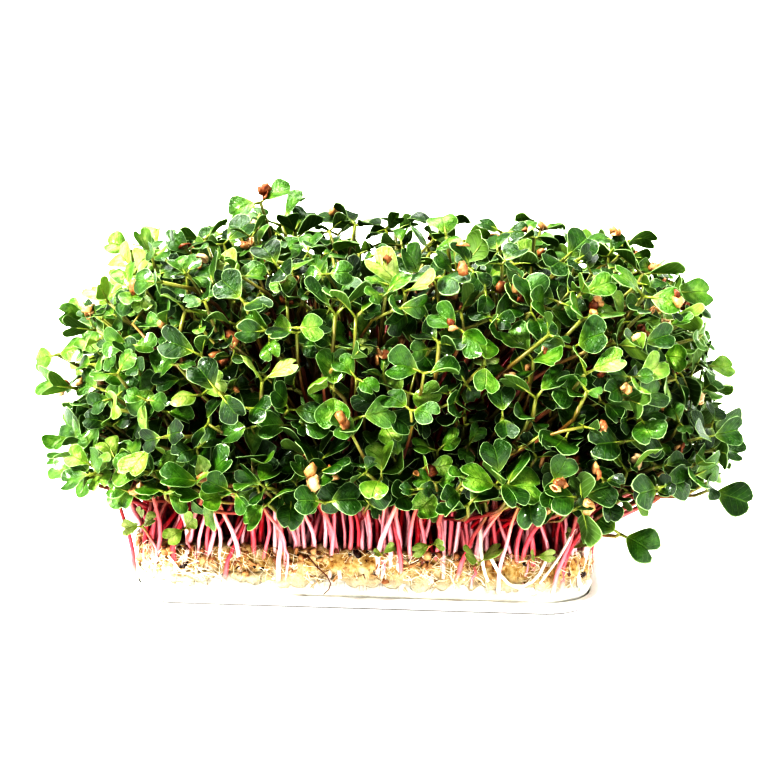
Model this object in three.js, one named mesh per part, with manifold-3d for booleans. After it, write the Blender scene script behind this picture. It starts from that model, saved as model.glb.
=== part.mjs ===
// A block of radish microgreens: a low white tray, a fibre growing pad, the root mat knitted on top of it,
// and bunches of seedlings, each a slender stem with a pair of heart-shaped seed leaves.
// Millimetres, +Z up. The origin is the middle of the tray's flat underside, and -Y is the front.

import * as THREE from "three";
import { mergeVertices } from "three/addons/utils/BufferGeometryUtils.js";
import Module from "manifold-3d";

const wasm = await Module();
wasm.setup();

// ---- Driving dimensions -------------------------------------------------------------------------

const TRAY = { length: 168, width: 120, corner: 20, floor: 1.4, wall: 1.4, height: 4.5, rim: 2.2 };
const PAD = { length: 159, width: 111, corner: 17, height: 9.2 };
const ROOT_MAT = { length: 161, width: 113, corner: 18, height: 9.6, wobble: 1.3, taper: 1.2, steps: 44 };
const SEED_COAT = { count: 26, radius: 1.9, sunk: 2.6, depth: 5.5 };
const GAP = 0.3; // between pieces that touch
const HOLE_MARGIN = 0.9; // round a bunch's roots in their hole

const BUNCHES = { columns: 8, rows: 5, stems: 5, pitchX: 17.9, pitchY: 19, unevenX: 0.6, unevenY: 0.9 };
const PLUG = { radius: 6.6, sides: 8, height: 3.6, depth: 0.7 }; // the tangle of roots under each bunch
const STEM = { radius: 1.15, neck: 0.95, ring: 4.5, uneven: 0.35, sunk: 1.2 };
const LEAF = { reach: 12.8, notch: 11.2, lobe: 3.9, shoulder: 8.3, half: 6, waist: 0.85 };
const BLADE = { thickness: 0.8, droop: 0.018, middle: 8, radius: 5.9 }; // and a disc that covers it

// The canopy's dome: how far the heads stand from the middle, and how high.
const DOME = { left: 103, right: 120, front: 77, back: 78, low: 50, high: 118, core: 52 };
const FIELD = { x: 67.5, y: 42.5 }; // half the sown field, out to the outermost stems

// How unevenly the seedlings grow. A seedling that finds no room at first may sink deeper in the canopy.
const UNEVEN = { head: 6, facing: 0.5, sway: 0.13, sunk: 12, sinking: 0.3, tries: 140 };
const UNEVEN_STRAY = { head: 1.5, facing: 0.12 };

const MAT_TOP = TRAY.floor + GAP + PAD.height + GAP + ROOT_MAT.height;
const ROOT_LEVEL = MAT_TOP - PLUG.depth - STEM.sunk;

// ---- Solids -------------------------------------------------------------------------------------

// A closed geometry as a manifold-3d solid.
function solidOf(geometry) {
  const bare = new THREE.BufferGeometry().setAttribute("position", geometry.getAttribute("position"));
  if (geometry.index) bare.setIndex(geometry.index);
  const merged = mergeVertices(bare, 1e-4);
  const corners = [...merged.index.array];
  const triVerts = [];
  for (let i = 0; i < corners.length; i += 3) {
    const [a, b, c] = corners.slice(i, i + 3);
    if (a !== b && b !== c && c !== a) triVerts.push(a, b, c);
  }
  return new wasm.Manifold(
    new wasm.Mesh({
      numProp: 3,
      vertProperties: merged.getAttribute("position").array,
      triVerts: new Uint32Array(triVerts),
    }),
  );
}

function geometryOf(solid) {
  const { numProp, vertProperties, triVerts, numVert } = solid.getMesh();
  const positions = new Float32Array(numVert * 3);
  for (let i = 0; i < numVert; i++) {
    positions.set(vertProperties.subarray(i * numProp, i * numProp + 3), i * 3);
  }
  return new THREE.BufferGeometry()
    .setAttribute("position", new THREE.BufferAttribute(positions, 3))
    .setIndex(new THREE.BufferAttribute(triVerts, 1));
}

function roundedRectangle(length, width, corner) {
  const [x, y] = [length / 2 - corner, width / 2 - corner];
  const shape = new THREE.Shape();
  shape.absarc(x, y, corner, 0, Math.PI / 2);
  shape.absarc(-x, y, corner, Math.PI / 2, Math.PI);
  shape.absarc(-x, -y, corner, Math.PI, 1.5 * Math.PI);
  shape.absarc(x, -y, corner, 1.5 * Math.PI, 2 * Math.PI);
  return shape;
}

function slab({ length, width, corner, height }, bottom) {
  const shape = roundedRectangle(length, width, corner);
  const slice = new THREE.ExtrudeGeometry(shape, { depth: height, bevelEnabled: false, curveSegments: 4 });
  return slice.translate(0, 0, bottom);
}

function material(color, roughness) {
  return new THREE.MeshStandardMaterial({ color, roughness, metalness: 0 });
}

const WHITE_PLASTIC = material(0xf2f1ee, 0.45);
const WHITE_FELT = material(0xf1ede1, 0.95);
const ROOT_FELT = material(0xe6d3a3, 0.95);
const GREEN = material(0x3f8a1f, 0.4);

const tray = new THREE.Group();
const microgreens = new THREE.Group();
microgreens.add(tray);

function add(name, geometry, finish, group = microgreens) {
  const mesh = new THREE.Mesh(geometry, finish);
  mesh.name = name;
  group.add(mesh);
}

// ---- Tray: thermoformed, with a low wall and a flat rim turned out ------------------------------

function trayGeometry() {
  const inner = {
    length: TRAY.length - 2 * TRAY.rim - 2 * TRAY.wall,
    width: TRAY.width - 2 * TRAY.rim - 2 * TRAY.wall,
    corner: TRAY.corner - TRAY.rim - TRAY.wall,
  };
  const wall = {
    length: TRAY.length - 2 * TRAY.rim,
    width: TRAY.width - 2 * TRAY.rim,
    corner: TRAY.corner - TRAY.rim,
    height: TRAY.height,
  };
  const rim = { ...TRAY, height: TRAY.wall };
  const hollow = slab({ ...inner, height: TRAY.height }, TRAY.floor);
  return geometryOf(
    solidOf(slab(wall, 0))
      .add(solidOf(slab(rim, TRAY.height - TRAY.wall)))
      .subtract(solidOf(hollow)),
  );
}

add("tray", trayGeometry(), WHITE_PLASTIC, tray);
add("growing_pad", slab(PAD, TRAY.floor + GAP), WHITE_FELT, tray);

// ---- Seeded draws -------------------------------------------------------------------------------

// A number from 0 to 1 that depends only on whose it is, which try it is for and which draw of that try.
function draw(owner, attempt, which) {
  let h = Math.imul(owner + 1, 0x9e3779b1);
  h ^= Math.imul(attempt + 1, 0x85ebca6b);
  h ^= Math.imul(which + 1, 0xc2b2ae35);
  h = Math.imul(h ^ (h >>> 15), 0x2c1b3c6d);
  h = Math.imul(h ^ (h >>> 12), 0x297a2d39);
  return ((h ^ (h >>> 15)) >>> 0) / 2 ** 32;
}

const spread = (owner, attempt, which) => 2 * draw(owner, attempt, which) - 1;

// Stand-ins for the try, for draws that don't belong to one.
const FOR_BUNCH = 190;
const FOR_ROOT = 191;
const FOR_SEED_COAT = 192;

// ---- Where each seedling grows and where its head stands ------------------------------------------

// Seedlings that reach out of the dome: the bunch each grows in (column, row from the front), where its head
// stands, which way its leaves face and which way the pair runs.
const STRAYS = [
  { column: 0, row: 1, head: [-109, -30, 82], facing: [-0.35, -0.75, 0.55], along: [1, 0, 0.1] },
  { column: 0, row: 0, head: [-101, -45, 43], facing: [-0.4, -0.7, 0.6], along: [0.9, 0, -0.5] },
  { column: 0, row: 3, head: [-89, 3, 114], facing: [0.35, -0.75, 0.6], along: [-1, 0, 0.35] },
  { column: 0, row: 2, head: [-105, 4, 93], facing: [-0.4, -0.6, 0.6], along: [0.9, -0.2, 0.3] },
  { column: 2, row: 3, head: [-43, 12, 131], facing: [-0.1, -0.7, 0.7], along: [0.8, 0.1, 0.5] },
  { column: 1, row: 3, head: [-58, 22, 119], facing: [-0.3, -0.3, 0.9], along: [1, 0.4, 0] },
  { column: 5, row: 3, head: [46, 32, 118], facing: [0, -0.6, 0.8], along: [1, -0.3, 0] },
  { column: 7, row: 0, head: [121, -40, 41], facing: [0.3, -0.8, 0.6], along: [0.8, 0.2, -0.6] },
  { column: 7, row: 0, head: [90, -60, 31], facing: [0.1, -0.8, 0.6], along: [0.8, 0, -0.6] },
  { column: 7, row: 2, head: [121, 0, 76], facing: [0.4, -0.7, 0.6], along: [0.9, 0.3, -0.2] },
  { column: 7, row: 3, head: [113, 24, 93], facing: [0.5, -0.5, 0.7], along: [0.9, 0.2, 0.2] },
];

// The middle of a bunch, on a slightly uneven grid.
function bunchCentre(bunch) {
  const column = (bunch % BUNCHES.columns) - (BUNCHES.columns - 1) / 2;
  const row = Math.floor(bunch / BUNCHES.columns) - (BUNCHES.rows - 1) / 2;
  return {
    x: BUNCHES.pitchX * column + BUNCHES.unevenX * spread(bunch, FOR_BUNCH, 0),
    y: BUNCHES.pitchY * row + BUNCHES.unevenY * spread(bunch, FOR_BUNCH, 1),
  };
}

const vector = (x, y, z) => new THREE.Vector3(x, y, z);

// Four stems stand round a bunch's middle one, and a stray between two of the four.
function rootOf(number, bunch, place) {
  const centre = bunchCentre(bunch);
  const middle = place === 4;
  const quarters = place < 4 ? place : place - 4.5;
  const turn = Math.PI * (draw(bunch, FOR_BUNCH, 3) + quarters / 2);
  return vector(
    centre.x + (middle ? 0 : STEM.ring) * Math.cos(turn) + STEM.uneven * spread(number, FOR_ROOT, 0),
    centre.y + (middle ? 0 : STEM.ring) * Math.sin(turn) + STEM.uneven * spread(number, FOR_ROOT, 1),
    ROOT_LEVEL,
  );
}

// Where a seedling's head stands on the dome, if it grows at x, y. Border seedlings lean out and stay low.
function domePoint(x, y) {
  const fx = x / FIELD.x;
  const fy = y / FIELD.y;
  const far = Math.cbrt(Math.abs(fx) ** 3 + Math.abs(fy) ** 3);
  const out = Math.min(1, far);
  const reach = (1 - (1 - out) ** 1.45) / far;
  return {
    out,
    x: fx * reach * (fx < 0 ? DOME.left : DOME.right),
    y: fy * reach * (fy < 0 ? DOME.front : DOME.back),
    z: DOME.low + (DOME.high - DOME.low) * (1 - out ** 5.5),
  };
}

// One way for a seedling to grow: its root, the top of its stem, and the frame of its two leaves.
function seedlingAt(number, attempt, root, stray) {
  const head = vector(0, 0, 0);
  const normal = vector(0, 0, 0);
  const along = vector(0, 0, 0);
  if (stray) {
    head.set(...stray.head);
    normal.set(...stray.facing);
    along.set(...stray.along);
  } else {
    const dome = domePoint(root.x, root.y);
    const inwards = vector(-0.75 * dome.x, -0.75 * dome.y, DOME.core - dome.z).normalize();
    const depth = (UNEVEN.sunk + UNEVEN.sinking * attempt) * draw(number, attempt, 0) ** 1.5;
    const lean = 0.25 + 0.75 * dome.out;
    const turn = Math.PI * draw(number, attempt, 7);
    head.set(dome.x, dome.y, dome.z).addScaledVector(inwards, depth);
    normal.set((lean * dome.x) / DOME.right, (lean * dome.y) / DOME.back, 0.8);
    along.set(Math.cos(turn), Math.sin(turn), 0);
  }
  const uneven = stray ? UNEVEN_STRAY : UNEVEN;
  head.x += uneven.head * spread(number, attempt, 1);
  head.y += uneven.head * spread(number, attempt, 2);
  head.z += uneven.head * spread(number, attempt, 3);
  normal.x += uneven.facing * spread(number, attempt, 4);
  normal.y += uneven.facing * spread(number, attempt, 5);
  normal.z += uneven.facing * spread(number, attempt, 6);
  normal.normalize();
  along.addScaledVector(normal, -along.dot(normal)).normalize();
  return {
    number,
    root,
    head,
    normal,
    along,
    across: normal.clone().cross(along),
    sway: vector(UNEVEN.sway * spread(number, attempt, 11), UNEVEN.sway * spread(number, attempt, 12), 1),
    size: 0.78 + 0.36 * draw(number, 0, 8),
    lift: 0.15 + 0.5 * draw(number, 0, 9),
    cup: 0.02 * spread(number, 0, 10),
  };
}

// A point of the leaves: u along the pair from the stem's top, v across, w through the blade.
function leafPoint({ head, normal, along, across, size, lift, cup }, u, v, w) {
  const far = Math.abs(u);
  const rise = lift * far - BLADE.droop * far * far + cup * v * v;
  return head
    .clone()
    .addScaledVector(along, size * u)
    .addScaledVector(across, size * v)
    .addScaledVector(normal, size * rise + w);
}

// The stem's line: 0 is at the root and 1 at the leaves. It leaves the mat upright.
function stemCurve({ root, head, normal, sway }) {
  const length = root.distanceTo(head);
  const low = root.clone().addScaledVector(sway, 0.4 * length);
  const high = head.clone().addScaledVector(normal, -0.32 * length);
  return new THREE.CubicBezierCurve3(root, low, high, head);
}

// ---- Room: blades and stems keep clear of each other ----------------------------------------------

const CLEAR = { above: 1.9, beside: 1.2, stems: 3.1 };
const STEM_STEPS = 30;

const BLADE_SPOTS = [
  [4, 0],
  [BLADE.middle, 0],
  [LEAF.notch, 0],
  [LEAF.reach, LEAF.lobe],
  [LEAF.reach, -LEAF.lobe],
  [LEAF.shoulder, LEAF.half],
  [LEAF.shoulder, -LEAF.half],
  [4.5, 3.2],
  [4.5, -3.2],
];

// A seedling as two discs, points down its stem, and those with spots on its blades.
function roomOf(seedling) {
  const discs = [-1, 1].map((side) => {
    const centre = leafPoint(seedling, side * BLADE.middle, 0, BLADE.thickness / 2);
    const further = leafPoint(seedling, side * (BLADE.middle + 0.5), 0, BLADE.thickness / 2);
    const normal = further.sub(centre).cross(seedling.across).normalize();
    return { centre, normal, radius: BLADE.radius * seedling.size };
  });
  const spots = [-1, 1].flatMap((side) =>
    BLADE_SPOTS.map(([u, v]) => leafPoint(seedling, side * u, v, BLADE.thickness / 2)),
  );
  const stem = stemCurve(seedling).getPoints(STEM_STEPS);
  return { discs, stem, points: [...spots, ...stem] };
}

function nearDisc(point, { centre, normal, radius }) {
  const far = point.distanceToSquared(centre);
  if (far > (radius + CLEAR.beside) ** 2 + CLEAR.above ** 2) return false;
  const height = point.dot(normal) - centre.dot(normal);
  return Math.abs(height) < CLEAR.above && far - height * height < (radius + CLEAR.beside) ** 2;
}

const onBlades = (points, discs) => points.some((point) => discs.some((disc) => nearDisc(point, disc)));

function inTheWay(a, b) {
  const crossing = a.stem.some((p) => b.stem.some((q) => p.distanceToSquared(q) < CLEAR.stems ** 2));
  return crossing || onBlades(a.points, b.discs) || onBlades(b.points, a.discs);
}

// These still come too near a neighbour's blade, so their places stay empty.
const CROWDED = [85];

// Each seedling takes the first of its ways to grow that is clear of those before it. Strays come first.
function grow() {
  const bunches = BUNCHES.columns * BUNCHES.rows;
  const regular = bunches * BUNCHES.stems;
  const grown = [];
  for (let order = 0; order < regular + STRAYS.length; order++) {
    const stray = STRAYS[order];
    const number = stray ? regular + order : order - STRAYS.length;
    const bunch = stray ? stray.row * BUNCHES.columns + stray.column : Math.floor(number / BUNCHES.stems);
    const beside = grown.filter((one) => one.bunch === bunch && one.number >= regular).length;
    const root = rootOf(number, bunch, stray ? BUNCHES.stems + beside : number % BUNCHES.stems);
    for (let attempt = 0; attempt < UNEVEN.tries; attempt++) {
      const seedling = seedlingAt(number, attempt, root, stray);
      const room = roomOf(seedling);
      if (!grown.some((other) => inTheWay(room, other.room))) {
        grown.push({ ...seedling, bunch, room });
        break;
      }
    }
  }
  return grown.filter((seedling) => !CROWDED.includes(seedling.number));
}

// ---- A seedling's solid ----------------------------------------------------------------------------

// A disc's rim in twelve steps, drawn out to the outline of two heart-shaped leaves.
const HALF_LEAF = [
  [LEAF.notch, 0],
  [LEAF.reach, LEAF.lobe],
  [LEAF.shoulder, LEAF.half],
];
const RIM = [
  ...HALF_LEAF,
  [0, LEAF.waist],
  ...HALF_LEAF.map(([u, v]) => [-u, v]).reverse(),
  ...HALF_LEAF.slice(1).map(([u, v]) => [-u, -v]),
  [0, -LEAF.waist],
  ...HALF_LEAF.slice(1).map(([u, v]) => [u, -v]).reverse(),
];
const STEM_RINGS = 4;
const NECK_LEVEL = 2; // levels 0 and 1 are the blades' two faces
const LEVELS = NECK_LEVEL + STEM_RINGS - 1;
const CORNER_TURNS = [45, 172, 285].map(THREE.MathUtils.degToRad); // the three-sided stem's corners

// The stem's ring at s, from 0 at the root to 1 at the neck.
function stemCorner(seedling, s, corner) {
  const curve = stemCurve(seedling);
  const tangent = curve.getTangent(s);
  const side = seedling.along.clone().addScaledVector(tangent, -seedling.along.dot(tangent)).normalize();
  const other = tangent.clone().cross(side);
  const radius = THREE.MathUtils.lerp(STEM.radius, STEM.neck, s);
  const turn = CORNER_TURNS[corner];
  return curve
    .getPoint(s)
    .addScaledVector(side, radius * Math.cos(turn))
    .addScaledVector(other, radius * Math.sin(turn));
}

// A cylinder drawn out: its top face becomes the leaves, and its wall runs down as the stem.
function seedlingSolid(seedling) {
  const geometry = new THREE.CylinderGeometry(1, 1, LEVELS, RIM.length, LEVELS);
  const positions = geometry.getAttribute("position");
  for (let i = 0; i < positions.count; i++) {
    const [x, y, z] = [positions.getX(i), positions.getY(i), positions.getZ(i)];
    const level = Math.round(LEVELS / 2 - y);
    const middle = Math.hypot(x, z) < 0.5;
    const step = (Math.round((Math.atan2(x, z) * RIM.length) / (2 * Math.PI)) + RIM.length) % RIM.length;
    const s = (LEVELS - level) / (STEM_RINGS - 1);
    let place;
    if (middle) {
      place = level === 0 ? leafPoint(seedling, 0, 0, BLADE.thickness) : seedling.root;
    } else if (level < NECK_LEVEL) {
      place = leafPoint(seedling, ...RIM[step], level === 0 ? BLADE.thickness : 0);
    } else {
      place = stemCorner(seedling, s, Math.floor(step / 4));
    }
    positions.setXYZ(i, place.x, place.y, place.z);
  }
  return solidOf(geometry);
}

// ---- Bunches: seedlings fused to the tangle of roots they share -------------------------------------

// A bunch's tangle of roots, or with a margin the hole it stands in.
function plugSolid(bunch, margin, bottom, height) {
  const { x, y } = bunchCentre(bunch);
  const radius = PLUG.radius + margin;
  const plug = new THREE.CylinderGeometry(radius, radius, height, PLUG.sides);
  plug.rotateX(Math.PI / 2).rotateZ(Math.PI * draw(bunch, FOR_BUNCH, 2));
  return solidOf(plug.translate(x, y, bottom + height / 2));
}

function plantBunches() {
  const grown = grow();
  for (let bunch = 0; bunch < BUNCHES.columns * BUNCHES.rows; bunch++) {
    const members = grown.filter((seedling) => seedling.bunch === bunch);
    const plug = plugSolid(bunch, 0, MAT_TOP - PLUG.depth - PLUG.height, PLUG.height);
    const solid = members.reduce((sum, seedling) => sum.add(seedlingSolid(seedling)), plug);
    add("seedlings_" + String(bunch + 1).padStart(2, "0"), geometryOf(solid), GREEN);
  }
}

// ---- Root mat: felted roots and seed coats, with a plain hole for each bunch's plug -------------------

function rootMatGeometry() {
  const bottom = MAT_TOP - ROOT_MAT.height;
  const { steps } = ROOT_MAT;
  const outline = roundedRectangle(ROOT_MAT.length, ROOT_MAT.width, ROOT_MAT.corner).getSpacedPoints(steps);
  const shape = new THREE.Shape(outline.slice(0, steps));
  const felt = new THREE.ExtrudeGeometry(shape, { depth: ROOT_MAT.height, bevelEnabled: false });
  const positions = felt.getAttribute("position");
  for (let i = 0; i < positions.count; i++) {
    const [x, y, z] = [positions.getX(i), positions.getY(i), positions.getZ(i)];
    const wave = ROOT_MAT.wobble * Math.sin(0.31 * x + 0.9 * z) * Math.cos(0.27 * y - 0.4 * z);
    const taper = z > ROOT_MAT.height / 2 ? ROOT_MAT.taper : 0;
    const scale = 1 + (wave - taper) / (ROOT_MAT.length / 2);
    positions.setXYZ(i, x * scale, y * scale, bottom + z);
  }
  let mat = solidOf(felt);
  for (let seed = 0; seed < SEED_COAT.count; seed++) mat = mat.add(seedCoatSolid(seed));
  for (let bunch = 0; bunch < BUNCHES.columns * BUNCHES.rows; bunch++) {
    const floor = MAT_TOP - PLUG.depth - PLUG.height - GAP;
    mat = mat.subtract(plugSolid(bunch, HOLE_MARGIN, floor, 3 * PLUG.height));
  }
  return geometryOf(mat);
}

// A swollen seed coat half sunk in the mat's side, placed along a squarish oval just inside its outline.
function seedCoatSolid(seed) {
  const turn = (2 * Math.PI * (seed + 0.6 * draw(seed, FOR_SEED_COAT, 0))) / SEED_COAT.count;
  const [cos, sin] = [Math.cos(turn), Math.sin(turn)];
  const squareness = 1 / (cos ** 4 + sin ** 4) ** 0.25;
  const coat = new THREE.IcosahedronGeometry(SEED_COAT.radius, 0);
  coat.rotateX(seed).rotateZ(2 * seed);
  coat.translate(
    (ROOT_MAT.length / 2 - SEED_COAT.sunk) * squareness * cos,
    (ROOT_MAT.width / 2 - SEED_COAT.sunk) * squareness * sin,
    MAT_TOP - SEED_COAT.radius - SEED_COAT.depth * draw(seed, FOR_SEED_COAT, 1),
  );
  return solidOf(coat);
}

add("root_mat", rootMatGeometry(), ROOT_FELT, tray);
plantBunches();

export default microgreens;
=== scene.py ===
"""Radish microgreens in a low white tray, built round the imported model. Metres, +Z up, -Y to the front."""

import math
from random import Random

import bmesh
import bpy
import numpy as np
from mathutils import Euler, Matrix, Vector, noise


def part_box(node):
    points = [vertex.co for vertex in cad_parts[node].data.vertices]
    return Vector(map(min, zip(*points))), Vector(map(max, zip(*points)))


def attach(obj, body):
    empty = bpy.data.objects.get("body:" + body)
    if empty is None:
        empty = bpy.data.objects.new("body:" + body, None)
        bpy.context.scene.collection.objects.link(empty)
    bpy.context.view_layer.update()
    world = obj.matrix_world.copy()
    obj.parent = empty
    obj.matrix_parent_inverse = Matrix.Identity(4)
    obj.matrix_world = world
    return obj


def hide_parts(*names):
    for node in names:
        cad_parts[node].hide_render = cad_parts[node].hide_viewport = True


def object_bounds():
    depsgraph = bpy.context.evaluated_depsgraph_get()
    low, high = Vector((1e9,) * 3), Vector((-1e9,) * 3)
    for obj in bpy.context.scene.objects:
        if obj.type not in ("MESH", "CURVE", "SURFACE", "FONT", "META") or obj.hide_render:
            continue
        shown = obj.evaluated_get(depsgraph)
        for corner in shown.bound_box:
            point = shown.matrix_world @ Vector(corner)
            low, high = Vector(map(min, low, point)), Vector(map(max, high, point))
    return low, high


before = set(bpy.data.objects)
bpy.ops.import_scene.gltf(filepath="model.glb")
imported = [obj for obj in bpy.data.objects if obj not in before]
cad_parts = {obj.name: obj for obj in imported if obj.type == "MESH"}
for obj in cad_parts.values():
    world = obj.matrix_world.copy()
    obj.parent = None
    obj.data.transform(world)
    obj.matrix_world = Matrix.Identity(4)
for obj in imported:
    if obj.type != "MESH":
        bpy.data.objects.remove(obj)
cad_low, cad_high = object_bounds()

# ---- Tray ------------------------------------------------------------------------------------------
# A thermoformed tray of thin white plastic, with a flat floor, a low wall and a rolled rim.
# It is pulled down over one mould, so every corner is rounded and the sheet shines softly.

MM = 0.001
TRAY_CORNER = 20 * MM
TRAY_POINTS = 160
# Each bend of the tray's section: how far in from the rim's edge it is, and how high.
TRAY_SECTION = [
    (4.6, 0.0), (3.3, 0.0), (2.9, 0.25), (2.6, 0.8), (2.4, 2.0), (2.25, 2.9), (1.9, 3.1), (0.4, 3.1),
    (0.1, 3.3), (0.0, 3.75), (0.12, 4.2), (0.5, 4.5), (2.8, 4.5), (3.3, 4.35), (3.55, 4.0), (3.6, 2.4),
    (3.75, 1.8), (4.3, 1.4),
]


def corner_point(share, length, width, corner):
    """The point a share of the way round a rounded rectangle, from the middle of its right side."""
    side_x, side_y = length / 2 - corner, width / 2 - corner
    arc = math.pi / 2 * corner
    quarter = side_x + arc + side_y
    turn, way = divmod(share % 1 * 4 * quarter, quarter)
    if turn % 2:
        way = quarter - way
    if way < side_y:
        x, y = side_x + corner, way
    elif way < side_y + arc:
        angle = (way - side_y) / corner
        x, y = side_x + corner * math.cos(angle), side_y + corner * math.sin(angle)
    else:
        x, y = side_x + side_y + arc - way, side_y + corner
    return (-x if turn in (1, 2) else x), (-y if turn in (2, 3) else y)


def stack_rings(bm, points, place, levels):
    """One closed skin of rings: place(share, level) puts each point of a ring, level after level."""
    share = bm.verts.layers.float.new("share")
    ring = bmesh.ops.create_circle(bm, cap_ends=True, segments=points, radius=1)["verts"]
    edges = list(bm.edges)
    for order, vert in enumerate(ring):
        vert[share] = order / points
        vert.co = place(vert[share], 0)
    for level in range(1, levels):
        made = bmesh.ops.extrude_edge_only(bm, edges=edges)["geom"]
        edges = [part for part in made if isinstance(part, bmesh.types.BMEdge)]
        for vert in made:
            if isinstance(vert, bmesh.types.BMVert):
                vert.co = place(vert[share], level)
        edges = [edge for edge in edges if len(edge.link_faces) == 1]
    bmesh.ops.edgeloop_fill(bm, edges=edges)
    bmesh.ops.recalc_face_normals(bm, faces=bm.faces[:])


def mesh_of(name, bm):
    """The bmesh, done with, as a mesh."""
    mesh = bpy.data.meshes.new(name)
    bm.to_mesh(mesh)
    bm.free()
    return mesh


def piece_of(name, bm, finishes, slot, *nodes):
    """The bmesh as a finished piece that stands for the CAD nodes and rides with the tray."""
    mesh = mesh_of(name, bm)
    mesh.shade_smooth()
    for finish in finishes:
        mesh.materials.append(finish)
    piece = bpy.data.objects.new(name, mesh)
    bpy.context.scene.collection.objects.link(piece)
    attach(piece, "root")
    if nodes:
        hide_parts(*nodes)
    return piece


def finish_named(name):
    """A new material, its node tree and its main shader."""
    material = bpy.data.materials.new(name)
    material.use_nodes = True
    return material, material.node_tree, material.node_tree.nodes["Principled BSDF"]


def set_sockets(tree, node, sockets):
    """Sets each socket of the node to a value, or feeds it from another node's output."""
    for socket, value in sockets.items():
        if isinstance(value, bpy.types.NodeSocket):
            tree.links.new(value, node.inputs[socket])
        else:
            node.inputs[socket].default_value = value


def add_node(tree, kind, sockets=None, **settings):
    node = tree.nodes.new("ShaderNode" + kind)
    for setting, value in settings.items():
        setattr(node, setting, value)
    set_sockets(tree, node, sockets or {})
    return node


def where_on_piece(tree):
    """The outputs X, Y and Z of a point on the piece, in metres."""
    return add_node(tree, "SeparateXYZ", {"Vector": add_node(tree, "TexCoord").outputs["Object"]}).outputs


def mark_of(tree, name):
    """The value of that name which the vertices are marked with."""
    return add_node(tree, "Attribute", attribute_name=name).outputs["Fac"]


def ramp(tree, factor, *stops):
    """A colour that runs through the stops, each a place from 0 to 1 and a colour."""
    node = add_node(tree, "ValToRGB", {"Fac": factor})
    elements = node.color_ramp.elements
    while len(elements) < len(stops):
        elements.new(0.5)
    for element, (place, colour) in zip(elements, stops):
        element.position = place
        element.color = (*colour, 1)
    return node.outputs["Color"]


def grain(tree, size, detail=3, stretch=(1, 1, 1), roughness=0.6):
    """Noise on the piece itself, with lumps of about the given size in metres."""
    coords = add_node(tree, "TexCoord").outputs["Object"]
    scaled = add_node(tree, "Mapping", {"Vector": coords, "Scale": stretch})
    sockets = {"Vector": scaled.outputs[0], "Scale": 1 / size, "Detail": detail, "Roughness": roughness}
    return add_node(tree, "TexNoise", sockets).outputs["Fac"]


def blend_colours(tree, factor, first, second):
    """The first colour, which another node gives, turned towards the second by the factor."""
    sockets = {0: factor, 6: first, 7: (*second, 1) if isinstance(second, tuple) else second}
    return add_node(tree, "Mix", sockets, data_type="RGBA", clamp_factor=True).outputs[2]


def remap(tree, value, low, high, to_low=0.0, to_high=1.0, smooth=False):
    """The value, with low to high drawn out to to_low to to_high and held at its ends."""
    sockets = {"Value": value, "From Min": low, "From Max": high, "To Min": to_low, "To Max": to_high}
    kind = "SMOOTHSTEP" if smooth else "LINEAR"
    return add_node(tree, "MapRange", sockets, interpolation_type=kind).outputs[0]


def calculate(tree, operation, *values):
    """One step of arithmetic on sockets or numbers."""
    return add_node(tree, "Math", dict(enumerate(values)), operation=operation).outputs[0]


def raise_surface(tree, shader, height, distance, strength=1.0):
    """Bump from the height, as if it stood up by the distance in metres."""
    bump = add_node(tree, "Bump", {"Height": height, "Distance": distance, "Strength": strength})
    set_sockets(tree, shader, {"Normal": bump.outputs["Normal"]})


tray_low, tray_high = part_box("tray")


def tray_place(share, level):
    inset, height = TRAY_SECTION[level]
    size = tray_high - tray_low
    x, y = corner_point(share, size.x - 2 * inset * MM, size.y - 2 * inset * MM, TRAY_CORNER - inset * MM)
    return x, y, tray_low.z + height * MM


white_plastic, tree, shader = finish_named("white_plastic")
cloud = grain(tree, 18 * MM)
scuffs = grain(tree, 2 * MM, detail=5, stretch=(1, 1, 0.15))
white = ramp(tree, cloud, (0.3, (0.80, 0.80, 0.78)), (0.7, (0.88, 0.88, 0.865)))
# Painted shadow: the tray's lowest millimetre turns near black, a contact shadow painted where it meets the
# table.
foot = remap(tree, where_on_piece(tree)["Z"], 0.55 * MM, 1.15 * MM, 0.92, 0.0, smooth=True)
colour = blend_colours(tree, foot, white, (0.14, 0.13, 0.115))
set_sockets(tree, shader, {"Base Color": colour, "Roughness": remap(tree, scuffs, 0.3, 0.75, 0.28, 0.52)})
raise_surface(tree, shader, scuffs, 0.06 * MM, 0.5)

bm = bmesh.new()
stack_rings(bm, TRAY_POINTS, tray_place, len(TRAY_SECTION))
piece_of("white_tray", bm, [white_plastic], "tray_white", "tray")

# ---- Growing pad -----------------------------------------------------------------------------------
# A slab of white plant-fibre felt that holds the water. It is needled together, not woven, so its
# side is soft and hairy, with loose fibres that lie every way.

PAD_CORNER = 17 * MM
PAD_POINTS = 460
PAD_EDGE = 0.9 * MM
PAD_RINGS = 11
PAD_FLUFF = 0.32 * MM
# How far the pad swells sideways at each height, pressed against the tray and sagging onto its rim.
PAD_PRESSED = (2, 4.3, 4.9, 6.2, 8), (0.5, 0.7, 1.7, 1.3, 0)
FIBRES = {
    "count": 800, "sides": 3, "cuts": 3, "radius": 0.09, "shortest": 3, "longest": 9, "low": 5, "high": 11,
    "lowest": 4.9,
}

pad_low, pad_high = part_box("growing_pad")


def slab_place(low, high, corner, edge, rings):
    """Places for stack_rings that make a slab with softly rounded edges between two corners of a box."""
    size = high - low

    def place(share, level):
        turn = math.pi * min(max((level - 1) / (rings - 1), 0), 1)
        inset = edge * (1 - math.sin(turn)) ** 2 + (6 * edge if level in (0, rings + 1) else 0)
        x, y = corner_point(share, size.x - 2 * inset, size.y - 2 * inset, corner - inset)
        return x, y, low.z + size.z * (1 - math.cos(turn)) / 2

    return place


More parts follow.
